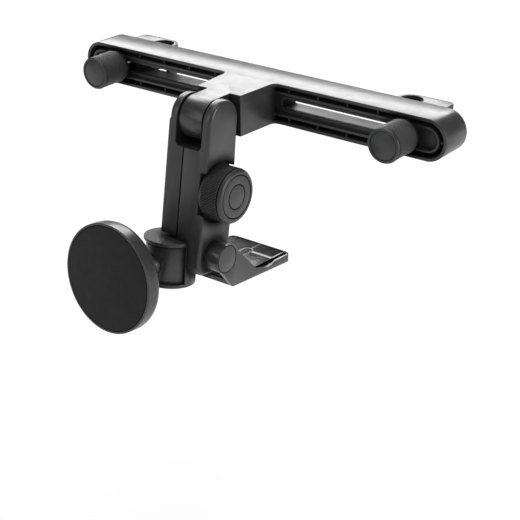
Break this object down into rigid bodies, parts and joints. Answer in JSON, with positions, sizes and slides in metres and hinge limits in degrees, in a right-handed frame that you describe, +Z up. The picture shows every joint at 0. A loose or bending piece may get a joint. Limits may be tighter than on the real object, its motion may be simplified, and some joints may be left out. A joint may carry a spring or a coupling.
{
  "type": "headrest mount with magnetic disc",
  "caption": "T-shaped headrest crossbar with two sliding post clamps, a tilting arm with lock knob and folding foot, and a magnetic disc on a swivel and ball joint.",
  "frame": {"origin": "middle of the crossbar's rear face, which bears on the headrest posts", "axes": "+X along the crossbar to the user's right, +Y towards the headrest, +Z up"},
  "size_m": [0.258, 0.152, 0.1206],
  "materials": {
    "crossbar_plastic": "fine moulded texture, satin",
    "jaw_plastic": "fine moulded texture, satin",
    "arm_plastic": "fine moulded texture, satin",
    "swivel_plastic": "fine moulded texture, satin",
    "knob_plastic": "matt, knurled grip",
    "foot_plastic": "satin, glossier in the tray",
    "disc_plastic": "satin",
    "disc_rubber": "flat matt rubber",
    "soft_pad": "matt rubber",
    "steel": "zinc-plated steel",
    "magnet_plating": "nickel-plated magnets",
    "brass": "turned brass"
  },
  "bodies": {
    "crossbar": {"crossbar": "crossbar_plastic"},
    "left_clamp": {"left_washer": "knob_plastic"},
    "left_jaw": {"left_jaw": "jaw_plastic", "left_jaw_pad": "soft_pad", "left_bolt": "steel"},
    "left_knob": {"left_knob": "knob_plastic", "left_knob_insert": "brass"},
    "right_clamp": {"right_washer": "knob_plastic"},
    "right_jaw": {"right_jaw": "jaw_plastic", "right_jaw_pad": "soft_pad", "right_bolt": "steel"},
    "right_knob": {"right_knob": "knob_plastic", "right_knob_insert": "brass"},
    "arm": {"arm_left_shell": "arm_plastic", "arm_right_shell": "arm_plastic", "hinge_pin": "steel", "hinge_washers": "soft_pad", "shell_screws": "steel", "arm_bolt": "steel", "arm_washer": "steel", "foot_pin": "steel", "swivel_housing_upper": "arm_plastic", "swivel_housing_lower": "arm_plastic", "swivel_pin": "steel"},
    "arm_knob": {"arm_knob": "knob_plastic", "arm_knob_insert": "brass", "arm_knob_cap": "knob_plastic"},
    "foot": {"foot": "foot_plastic"},
    "swivel": {"swivel_barrel": "swivel_plastic", "ball_stud": "steel"},
    "collar": {"ball_collar": "knob_plastic"},
    "disc": {"disc_housing": "disc_plastic", "disc_plate": "steel", "disc_magnets": "magnet_plating", "disc_pad": "disc_rubber"}
  },
  "joints": [
    {"name": "left_clamp_slide", "type": "slide", "parent": "crossbar", "child": "left_clamp", "axis": [1, 0, 0], "range_m": [-0.002, 0.07]},
    {"name": "left_knob_turn", "type": "hinge", "parent": "left_clamp", "child": "left_knob", "pos_m": [-0.103, -0.03, 0], "axis": [0, -1, 0], "range_deg": [0, 2160]},
    {"name": "left_jaw_open", "type": "slide", "parent": "left_clamp", "child": "left_jaw", "axis": [0, 1, 0], "range_m": [0, 0.006]},
    {"name": "right_clamp_slide", "type": "slide", "parent": "crossbar", "child": "right_clamp", "axis": [-1, 0, 0], "range_m": [-0.002, 0.07]},
    {"name": "right_knob_turn", "type": "hinge", "parent": "right_clamp", "child": "right_knob", "pos_m": [0.103, -0.03, 0], "axis": [0, -1, 0], "range_deg": [0, 2160]},
    {"name": "right_jaw_open", "type": "slide", "parent": "right_clamp", "child": "right_jaw", "axis": [0, 1, 0], "range_m": [0, 0.006]},
    {"name": "arm_tilt", "type": "hinge", "parent": "crossbar", "child": "arm", "pos_m": [0, -0.064, 0], "axis": [1, 0, 0], "range_deg": [-95, 8]},
    {"name": "arm_knob_turn", "type": "hinge", "parent": "arm", "child": "arm_knob", "pos_m": [0.018, -0.0695, -0.03912], "axis": [1, 0, 0], "range_deg": [0, 720]},
    {"name": "foot_fold", "type": "hinge", "parent": "arm", "child": "foot", "pos_m": [0, -0.07686, -0.07494], "axis": [1, 0, 0], "range_deg": [0, 80]},
    {"name": "swivel_turn", "type": "hinge", "parent": "arm", "child": "swivel", "pos_m": [-0.0095, -0.08665, -0.08215], "axis": [0, 0.1392, 0.9903], "range_deg": [-38, 50]},
    {"name": "disc_tilt", "type": "hinge", "parent": "swivel", "child": "collar", "pos_m": [-0.01361, -0.11558, -0.07808], "axis": [0.9994, -0.0349, 0], "range_deg": [-22, 18]},
    {"name": "disc_spin", "type": "hinge", "parent": "collar", "child": "disc", "pos_m": [-0.01361, -0.11558, -0.07808], "axis": [-0.0347, -0.9939, 0.1045], "continuous": true}
  ],
  "couplings": [
    {"joint": "left_knob_turn", "follows": "left_jaw_open", "rad_per_m": 6283.2},
    {"joint": "right_knob_turn", "follows": "right_jaw_open", "rad_per_m": 6283.2}
  ]
}
